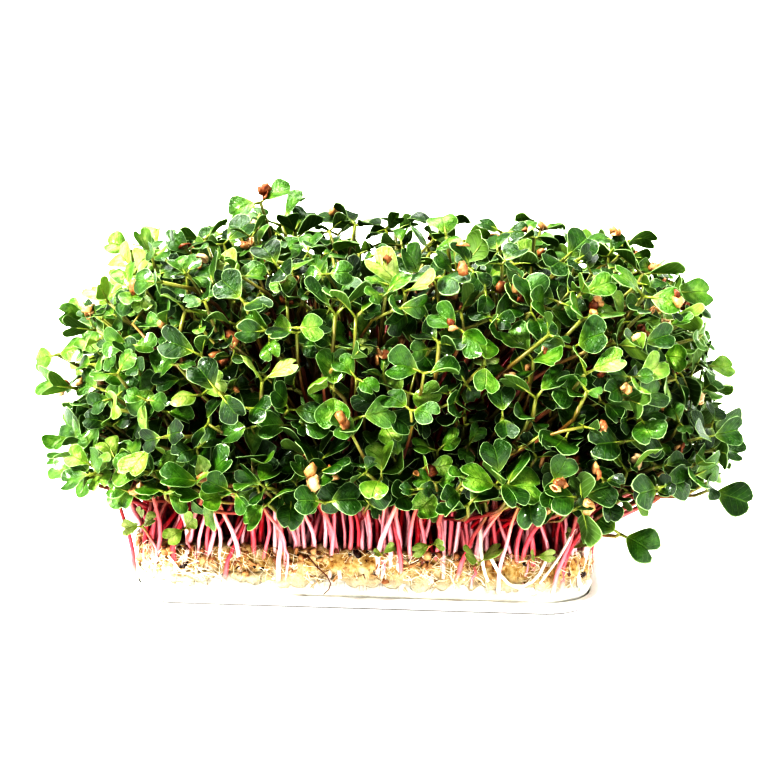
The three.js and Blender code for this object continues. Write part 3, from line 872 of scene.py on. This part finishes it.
def leaf_place(seedling, side, look):
    """A place for add_copy: the round blade as this seedling's leaf, with its own cup, fold and waves."""
    cos, sin = math.cos(look["twist"]), math.sin(look["twist"])
    share = look["smaller"] if side < 0 else 1

    def place(x, y, z):
        u, v = heart(x, y, look["notch"])
        u, v = LEAF["base"] + (u - LEAF["base"]) * share, v * share * look["broad"]
        edge = x * x + y * y
        ruffle = look["ruffle"] * edge * math.sin(3.1 * v / LEAF["half"] + 0.5 * u + look["phase"])
        curl = look["curl"] * edge * edge
        w = look["fold"] * (math.sqrt(v * v + 0.8) - 0.9) + ruffle + curl + LEAF["thickness"] * (z + 0.5)
        v, w = v * cos - w * sin, v * sin + w * cos
        return leaf_point(seedling, side * u, side * v, w * seedling["size"], look["droop"]) * MM

    return place


def leaf_marks(tree, lump, uneven, side_veins, faint, midrib):
    """How far along a leaf a point is and how near its rim, and the leaf's mottle, tone and veins there."""
    blade = add_node(tree, "Attribute", attribute_name="blade").outputs["Vector"]
    on_leaf = add_node(tree, "SeparateXYZ", {"Vector": blade}).outputs
    along, across = on_leaf["X"], calculate(tree, "ABSOLUTE", on_leaf["Y"])
    rim = add_node(tree, "VectorMath", {0: blade}, operation="LENGTH").outputs["Value"]
    mottle = grain(tree, lump, detail=4)
    tone = calculate(tree, "ADD", mark_of(tree, "tone"), remap(tree, mottle, 0.3, 0.7, -uneven, uneven))
    rows = calculate(tree, "MULTIPLY", along, 2.6), calculate(tree, "MULTIPLY", across, 1.7)
    wave = calculate(tree, "MULTIPLY", calculate(tree, "SUBTRACT", *rows), 2 * math.pi)
    side_vein = remap(tree, calculate(tree, "COSINE", wave), side_veins, 1.0, smooth=True)
    middle = remap(tree, across, 0.0, midrib, 1, 0, smooth=True)
    vein = calculate(tree, "MAXIMUM", middle, calculate(tree, "MULTIPLY", side_vein, faint))
    return along, rim, mottle, tone, vein


def shine_through(tree, shader, share, colour):
    """Lets a share of the light come through the leaf, in a colour."""
    lit = add_node(tree, "BsdfTranslucent", {"Color": colour})
    both = add_node(tree, "MixShader", {0: share, 1: shader.outputs[0], 2: lit.outputs[0]})
    set_sockets(tree, tree.nodes["Material Output"], {"Surface": both.outputs[0]})


leaf_face, tree, shader = finish_named("leaf_upper_face")
along, rim, mottle, tone, vein = leaf_marks(tree, 3.2 * MM, 0.13, side_veins=0.86, faint=0.55, midrib=0.075)
tone = calculate(tree, "ADD", tone, remap(tree, rim, 0.2, 1.0, 0.1, -0.08))
green = ramp(
    tree, tone, (0.0, (0.006, 0.024, 0.002)), (0.35, (0.024, 0.082, 0.004)), (0.60, (0.080, 0.186, 0.013)),
    (0.82, (0.225, 0.330, 0.062)), (1.0, (0.430, 0.490, 0.190)),
)
base = remap(tree, along, -1.0, -0.35, 0.7, 0.0, smooth=True)
green = blend_colours(tree, base, green, (0.22, 0.32, 0.035))
vein = calculate(tree, "MULTIPLY", vein, remap(tree, rim, 0.75, 0.97, 1, 0))
green = blend_colours(tree, calculate(tree, "MULTIPLY", vein, 0.4), green, (0.24, 0.40, 0.06))
# Painted highlight: near the blade's rim the colour turns pale, as the edge catching the light.
green = blend_colours(tree, remap(tree, rim, 0.93, 0.99, 0, 0.7, smooth=True), green, (0.50, 0.63, 0.34))
set_sockets(tree, shader, {"Base Color": green, "Roughness": remap(tree, mottle, 0.3, 0.7, 0.28, 0.46)})
set_sockets(tree, shader, {"Specular IOR Level": 0.62, "Coat Weight": 0.4, "Coat Roughness": 0.16})
tissue, puckers = grain(tree, 0.55 * MM, detail=4), grain(tree, 1.9 * MM)
relief = calculate(tree, "MULTIPLY", tissue, 0.4)
relief = calculate(tree, "SUBTRACT", relief, calculate(tree, "MULTIPLY", vein, 0.8))
relief = calculate(tree, "ADD", relief, calculate(tree, "MULTIPLY", puckers, 1.6))
raise_surface(tree, shader, relief, 0.5 * MM)
shine_through(tree, shader, 0.22, blend_colours(tree, 0.35, green, (0.40, 0.66, 0.06)))

leaf_back, tree, shader = finish_named("leaf_underside")
along, rim, mottle, tone, vein = leaf_marks(tree, 2.4 * MM, 0.1, side_veins=0.7, faint=0.6, midrib=0.09)
green = ramp(
    tree, tone, (0.0, (0.048, 0.088, 0.022)), (0.5, (0.130, 0.210, 0.050)), (0.8, (0.240, 0.350, 0.075)),
    (1.0, (0.430, 0.520, 0.150)),
)
green = blend_colours(tree, calculate(tree, "MULTIPLY", vein, 0.4), green, (0.40, 0.50, 0.24))
# Painted highlight: near the blade's rim the colour turns pale, as the edge catching the light.
green = blend_colours(tree, remap(tree, rim, 0.93, 0.99, 0, 0.7, smooth=True), green, (0.48, 0.60, 0.34))
set_sockets(tree, shader, {"Base Color": green, "Roughness": 0.6})
raise_surface(tree, shader, calculate(tree, "ADD", vein, mottle), 0.25 * MM)
shine_through(tree, shader, 0.36, blend_colours(tree, 0.5, green, (0.40, 0.65, 0.03)))

stem_skin, tree, shader = finish_named("stem_skin")
up = mark_of(tree, "up")
streaks = grain(tree, 1.4 * MM, detail=4, stretch=(1, 1, 0.12))
# Painted shade: both ramps darken the stem's upper part where it enters the canopy, the crimson one nearly to
# black, before the stalk's green.
crimson = ramp(
    tree, up, (0.0, (0.74, 0.56, 0.46)), (0.05, (0.62, 0.12, 0.13)), (0.16, (0.52, 0.02, 0.05)),
    (0.38, (0.26, 0.008, 0.014)), (0.56, (0.12, 0.016, 0.008)), (0.76, (0.13, 0.12, 0.026)),
    (1.0, (0.23, 0.30, 0.052)),
)
pink = ramp(
    tree, up, (0.0, (0.76, 0.68, 0.58)), (0.10, (0.70, 0.50, 0.51)), (0.30, (0.64, 0.36, 0.39)),
    (0.54, (0.60, 0.24, 0.18)), (0.70, (0.26, 0.18, 0.06)), (0.84, (0.27, 0.28, 0.07)),
    (1.0, (0.30, 0.37, 0.072)),
)
# Each stem runs from the crimson ramp to the pink one by its mark, which holds painted light as well as its
# own colour.
colour = blend_colours(tree, mark_of(tree, "tone"), crimson, pink)
colour = blend_colours(tree, remap(tree, streaks, 0.55, 0.75, 0.0, 0.35), colour, (0.72, 0.46, 0.44))
set_sockets(tree, shader, {"Base Color": colour, "Roughness": remap(tree, streaks, 0.3, 0.7, 0.28, 0.45)})
raise_surface(tree, shader, streaks, 0.15 * MM)


def seedling_patterns(detail):
    """The stem, the stalk and the blade, as finely made as the detail says."""
    rods = rod_pattern(*detail["stem"]), rod_pattern(*detail["stalk"])
    for face in (face for rod in rods for face in rod.polygons):
        face.material_index = 2
    return *rods, leaf_pattern(*detail["leaf"])


def past_grid(root, margin):
    """Whether a root stands further out than the inner grid, by more than a margin."""
    return max(abs(root[0]) - EXTRA_GRID["x"], abs(root[1]) - EXTRA_GRID["y"]) > margin


def look_of(seedling):
    """How this seedling's leaves and stem differ from the next one's."""
    random = Random(seedling["number"])
    free = 0.6 if seedling["solid"] else 1
    at_edge = past_grid(seedling["root"], EDGE)
    kind = random.random()
    tone = random.gauss(0.385, 0.14)
    if kind > YELLOW_FROM or seedling["late"]:
        tone = random.uniform(0.8, 0.97)
    elif kind > LIGHT_FROM:
        tone = random.uniform(0.56, 0.78)
    # Painted light: heads at the left end, toward the key light, get up to 0.2 lighter leaves; painted shade:
    # inner, deeper seedlings' leaves are 0.25 darker.
    tone += 0.20 * min(max((-50 - seedling["head"][0]) / 50, 0), 1) - 0.25 * seedling["inner"]
    # The stem's pinkness is partly its own spread from crimson to pale pink and partly painted light: border
    # stems are drawn paler, as if lit, and inner ones crimson, as if shaded.
    if at_edge:
        pinkness_and_painted_light = random.choice((random.uniform(0.05, 0.6), random.uniform(0.75, 1)))
    else:
        pinkness_and_painted_light = random.uniform(0.05, 1) ** 3
    return {
        "tone": min(max(tone, 0.05), 0.98),
        "pinkness_and_painted_light": pinkness_and_painted_light,
        "slim": random.uniform(0.78, 1.12),
        "twist": random.uniform(-0.5, 0.5) * free,
        "fold": random.uniform(-0.08, 0.5) * (0.6 + free),
        "curl": random.uniform(-1.6, 0.9) * free,
        "ruffle": random.uniform(0.2, 0.7 + 0.25 * free),
        "notch": random.uniform(0.45, 1.1),
        "broad": random.uniform(0.86, 1.1),
        "smaller": random.uniform(0.84, 1.0),
        "phase": random.uniform(0, 6.28),
        "wander": random.uniform(0.4, 2.0 if at_edge else 1.3) * (0.4 + 0.6 * free),
        "droop": BLADE_DROOP + 0.03 * random.random() * free,
    }


def stem_with_wander(seedling, look, steps):
    """The stem's line, with slight bends of its own between its ends."""
    line = stem_line(seedling, steps)
    line[0] -= (0, 0, STEM["sunk"])
    t = np.linspace(0, 1, steps + 1)[:, None]
    wander = look["wander"] * np.sin(math.pi * t) * np.sin(8 * t + look["phase"])
    return line + wander * np.array([math.cos(look["phase"]), math.sin(look["phase"]), 0])


outer, inner = seedling_patterns(OUTER_DETAIL), seedling_patterns(INNER_DETAIL)
for bunch in range(BUNCH_COLUMNS * BUNCH_ROWS):
    bm = bmesh.new()
    blade = bm.verts.layers.float_vector.new("blade")
    tone = bm.verts.layers.float.new("tone")
    up = bm.verts.layers.float.new("up")
    for seedling in (one for one in grown if one["bunch"] == bunch):
        look = look_of(seedling)
        detail, patterns = (INNER_DETAIL, inner) if seedling["inner"] else (OUTER_DETAIL, outer)
        stem, stalk, leaf = patterns
        slim = look["slim"] * (0.6 if seedling["late"] else 1)
        bent = bend_rod(
            stem_with_wander(seedling, look, detail["stem"][1] + 1), taper(STEM["foot"], STEM["neck"], slim)
        )
        add_copy(bm, stem, bent, {tone: look["pinkness_and_painted_light"], up: lambda x, y, z: z * STEM_SHARE})
        for side in (-1, 1):
            reach = np.linspace(0.0, STALK["reach"], detail["stalk"][1] + 2)
            under = -STALK["under"] * seedling["size"]
            line = [leaf_point(seedling, side * u, 0, under, look["droop"]) for u in reach]
            bent = bend_rod(line, taper(STALK["start"], STALK["end"], slim, STALK["power"]))
            marks = {tone: look["pinkness_and_painted_light"], up: lambda x, y, z: STEM_SHARE + (1 - STEM_SHARE) * z}
            add_copy(bm, stalk, bent, marks)
            marks = {tone: look["tone"], blade: lambda x, y, z: (x, y, 0)}
            add_copy(bm, leaf, leaf_place(seedling, side, look), marks)
    name, node = f"radish_bunch_{bunch + 1:02d}", f"seedlings_{bunch + 1:02d}"
    piece_of(name, bm, [leaf_face, leaf_back, stem_skin], "seedling_green", node)

# ---- Seed coats ------------------------------------------------------------------------------------
# The coats that the sown seeds have shed: thin wrinkled shells, split open, from cream to dark brown.
# Most are felted into the mat. The seedlings have lifted the others, which stick to their leaves.

COAT = {"sides": 7, "rings": 5, "thickness": 0.14, "open": 0.3, "wrinkled": 0.7}
IN_MAT = {"count": 680, "low": 9.5, "likely": 18, "high": 30, "size": (0.8, 2.1), "sunk": -0.4}
ON_LEAVES = {"clusters": 240, "size": (1.4, 2.7)}
HAIRS = {"each": 5, "sides": 3, "cuts": 2, "radius": 0.07, "tip": 0.4, "shortest": 1.5, "longest": 4.5}


def coat_pattern(open_side):
    bm = bmesh.new()
    bmesh.ops.create_uvsphere(bm, u_segments=COAT["sides"], v_segments=COAT["rings"], radius=1)
    if open_side:
        everything = bm.verts[:] + bm.edges[:] + bm.faces[:]
        cut = {"plane_co": (0, 0, COAT["open"]), "plane_no": (0, 0, 1), "clear_outer": True}
        bmesh.ops.bisect_plane(bm, geom=everything, **cut)
        bmesh.ops.solidify(bm, geom=bm.faces[:], thickness=COAT["thickness"])
    return mesh_of("seed_coat", bm)


def coat_place(random, centre, size):
    """A place for add_copy: a coat at a point in millimetres, turned, squeezed and wrinkled its own way."""
    turn = Euler([random.uniform(0, 6.28) for _ in range(3)]).to_matrix()
    squeeze = Vector((1, random.uniform(0.55, 0.9), random.uniform(0.4, 0.85)))
    away = Vector([random.uniform(0, 50) for _ in range(3)])
    centre = Vector(centre)

    def place(x, y, z):
        point = Vector((x, y, z))
        point *= 1 + COAT["wrinkled"] * noise.noise(point * 1.2 + away)
        return (centre + turn @ (point * squeeze) * size) * MM

    return place


coat_skin, tree, shader = finish_named("seed_coat")
blotch = grain(tree, 1.1 * MM, detail=5)
tone = calculate(tree, "ADD", mark_of(tree, "tone"), remap(tree, blotch, 0.3, 0.7, -0.16, 0.16))
colour = ramp(
    tree, tone, (0.0, (0.54, 0.41, 0.26)), (0.3, (0.42, 0.26, 0.12)), (0.6, (0.27, 0.12, 0.05)),
    (0.8, (0.14, 0.04, 0.012)), (1.0, (0.025, 0.010, 0.006)),
)
set_sockets(tree, shader, {"Base Color": colour, "Roughness": 0.42})
raise_surface(tree, shader, blotch, 0.2 * MM)

random = Random(37)
shells, whole = coat_pattern(True), coat_pattern(False)
bm = bmesh.new()
tone = bm.verts.layers.float.new("tone")
for _ in range(IN_MAT["count"]):
    height = random.triangular(IN_MAT["low"], IN_MAT["high"], IN_MAT["likely"])
    centre = mat_side(random.random(), height, proud=IN_MAT["sunk"])
    place = coat_place(random, centre, random.uniform(*IN_MAT["size"]))
    pattern = whole if random.random() < 0.55 else shells
    add_copy(bm, pattern, place, {tone: min(1, 0.1 + 0.36 * random.expovariate(1))})
piece_of("seed_coats_in_the_mat", bm, [coat_skin], "root_felt")

bm = bmesh.new()
tone = bm.verts.layers.float.new("tone")
for seedling in random.sample([one for one in grown if not one["late"]], ON_LEAVES["clusters"]):
    end = random.choice((-1, 1))
    u, v = random.choice((random.uniform(-1, 3), random.uniform(3, 11))), random.uniform(-2.5, 2.5)
    for _ in range(random.choice((1, 2, 2, 3, 4))):
        size = random.uniform(*ON_LEAVES["size"])
        centre = leaf_point(seedling, end * u, v, 0.65 * size)
        pattern = whole if random.random() < 0.3 else shells
        add_copy(bm, pattern, coat_place(random, centre, size), {tone: random.uniform(0.05, 0.85) ** 1.3})
        u, v = u + random.uniform(-3, 3), v + random.uniform(-3, 3)
piece_of("seed_coats_on_leaves", bm, [coat_skin], "root_felt")

pattern = rod_pattern(HAIRS["sides"], HAIRS["cuts"])
bm = bmesh.new()
tone = bm.verts.layers.float.new("tone")
for seedling in (one for one in grown if past_grid(one["root"], 0)):
    for _ in range(HAIRS["each"]):
        heading = random.uniform(0, 2 * math.pi)
        out = np.array([math.cos(heading), math.sin(heading), random.uniform(-0.9, 0.5)])
        bend = np.array([random.uniform(-1, 1), random.uniform(-1, 1), -1.0])
        reach = random.uniform(HAIRS["shortest"], HAIRS["longest"])
        t = np.linspace(0, 1, HAIRS["cuts"] + 2)[:, None]
        line = seedling["root"] + (0, 0, random.uniform(0, 2.5)) + reach * (out * t + 0.4 * bend * t * t)
        bent = bend_rod(line, taper(1, HAIRS["tip"], HAIRS["radius"]))
        add_copy(bm, pattern, bent, {tone: 0.2 * random.random()})
piece_of("root_hairs", bm, [pale_root], "root_felt")

# ---- Table, light and camera -----------------------------------------------------------------------
# A plain white table with a white wall far off round it, under soft studio lights. The camera looks
# slightly down on the tray's long side.

bm = bmesh.new()
bmesh.ops.create_circle(bm, cap_ends=True, segments=96, radius=30)
wall = bmesh.ops.extrude_edge_only(bm, edges=bm.edges[:])["geom"]
bmesh.ops.translate(bm, vec=(0, 0, 6), verts=[part for part in wall if isinstance(part, bmesh.types.BMVert)])
table = bpy.data.objects.new("table_top", mesh_of("table_top", bm))
scene = bpy.context.scene
scene.collection.objects.link(table)
white_table, tree, shader = finish_named("white_table")
set_sockets(tree, shader, {"Base Color": (0.6, 0.6, 0.6, 1), "Roughness": 0.9})
set_sockets(tree, shader, {"Emission Color": (1, 1, 1, 1), "Emission Strength": 0.62})
table.data.materials.append(white_table)


def soft_light(name, towards, angle, strength):
    """A broad studio light, far off, which spans an angle of the sky and shines towards a direction."""
    lamp = bpy.data.lights.new(name, "SUN")
    lamp.angle = math.radians(angle)
    lamp.energy = strength
    light = bpy.data.objects.new(name, lamp)
    light.rotation_euler = Vector(towards).to_track_quat("-Z", "Y").to_euler()
    scene.collection.objects.link(light)


soft_light("key_light", (0.64, 0.42, -0.76), 9, 5.2)
soft_light("top_light", (0.10, -0.25, -1.0), 45, 3.1)
soft_light("front_light", (-0.35, 0.90, -0.12), 40, 1.2)
soft_light("side_light", (-0.85, 0.20, -0.30), 50, 1.0)

world = bpy.data.worlds.new("white_room")
world.use_nodes = True
set_sockets(world.node_tree, world.node_tree.nodes["Background"], {"Color": (1, 1, 1, 1), "Strength": 0.31})
scene.world = world
scene.view_settings.view_transform = "Standard"
scene.view_settings.look = "Very High Contrast"
scene.view_settings.exposure = 0.33
scene.view_settings.gamma = 0.76

AZIMUTH, ELEVATION = math.radians(5), math.radians(14)
TARGET, DISTANCE, FRAME_WIDTH = Vector((0, 0, 0.060)), 0.640, 0.283
SENSOR, PICTURE, TARGET_PIXEL = 36, 764, (372, 402)

forwards = Vector(
    (-math.sin(AZIMUTH) * math.cos(ELEVATION), math.cos(AZIMUTH) * math.cos(ELEVATION), -math.sin(ELEVATION))
)
lens = bpy.data.cameras.new("camera")
lens.sensor_width = SENSOR
lens.lens = SENSOR * DISTANCE / FRAME_WIDTH
lens.shift_x = (PICTURE / 2 - TARGET_PIXEL[0]) / PICTURE
lens.shift_y = (TARGET_PIXEL[1] - PICTURE / 2) / PICTURE
camera = bpy.data.objects.new("camera", lens)
camera.location = TARGET - forwards * DISTANCE
camera.rotation_euler = forwards.to_track_quat("-Z", "Y").to_euler()
scene.collection.objects.link(camera)
scene.camera = camera
